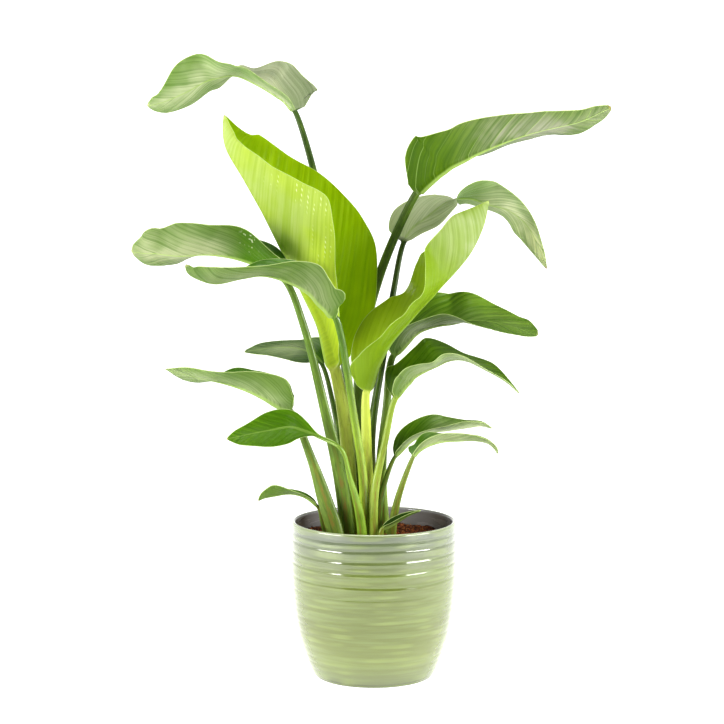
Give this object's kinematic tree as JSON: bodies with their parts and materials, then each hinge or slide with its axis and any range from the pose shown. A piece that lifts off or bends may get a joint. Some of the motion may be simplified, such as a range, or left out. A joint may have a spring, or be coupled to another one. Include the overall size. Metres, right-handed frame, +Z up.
{
  "type": "potted bird of paradise",
  "caption": "Potted bird of paradise houseplant: broad folded leaves fan out on long petioles from the soil of a ribbed, glazed round pot that stands on its flat base.",
  "frame": {"origin": "centre of the pot's flat base, on the pot's axis", "axes": "+Z up along the pot's axis, -Y towards the front of the plant as pictured, +X to the right seen from the front"},
  "size_m": [0.5395, 0.2104, 0.7072],
  "materials": {
    "pot_glaze": "glossy",
    "coir_soil": "matte",
    "leaf_green": "satin",
    "leaf_lime": "satin"
  },
  "bodies": {
    "root": {"pot": "pot_glaze", "soil": "coir_soil", "leaf_top_left": "leaf_green", "leaf_centre_large": "leaf_lime", "leaf_top_right": "leaf_green", "leaf_arching_right": "leaf_green", "leaf_young_lime": "leaf_lime", "leaf_upper_left": "leaf_green", "leaf_front_twisted": "leaf_green", "leaf_rear_small_left": "leaf_green", "leaf_middle_left": "leaf_green", "leaf_lower_left": "leaf_green", "leaf_low_left_small": "leaf_green", "leaf_middle_right": "leaf_green", "leaf_lower_right": "leaf_green", "leaf_low_right_upper": "leaf_green", "leaf_low_right_lower": "leaf_green", "leaf_newest_sprout": "leaf_green"}
  },
  "joints": []
}
